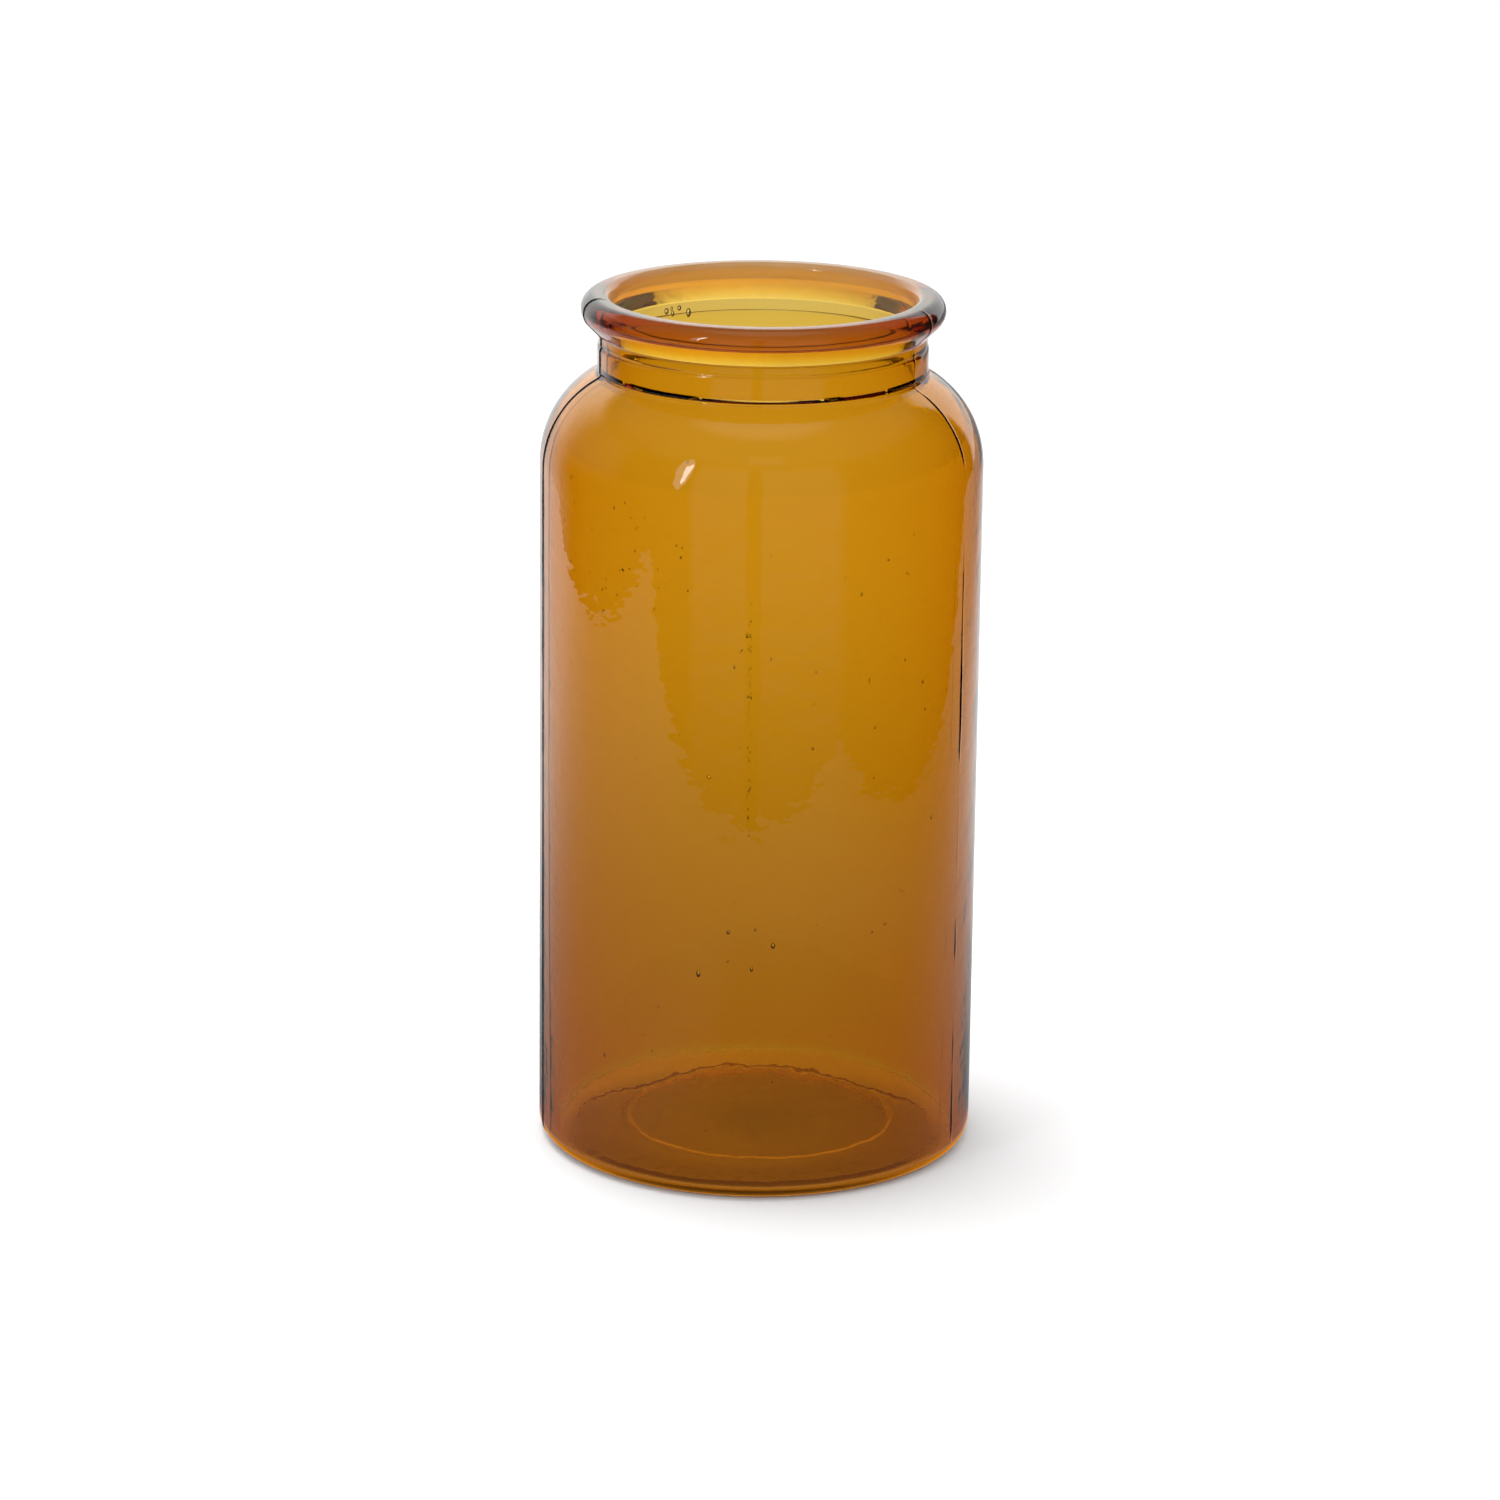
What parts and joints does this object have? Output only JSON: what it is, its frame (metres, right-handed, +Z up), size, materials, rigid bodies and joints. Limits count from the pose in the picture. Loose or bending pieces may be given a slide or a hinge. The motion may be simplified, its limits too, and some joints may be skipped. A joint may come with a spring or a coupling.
{
  "type": "apothecary jar",
  "caption": "Tall cylindrical jar of amber moulded glass with a round shoulder, a short wide neck and a thick rolled rim, open at the top.",
  "frame": {"origin": "centre of the plane that the jar stands on", "axes": "+Z up along the jar's axis, out of its mouth; -Y is the front, midway between the two mould seams"},
  "size_m": [0.152, 0.152, 0.3],
  "materials": {
    "amber_glass": "clear amber glass, fire-polished, with fine seeds and mould marks"
  },
  "bodies": {
    "root": {"jar": "amber_glass"}
  },
  "joints": []
}
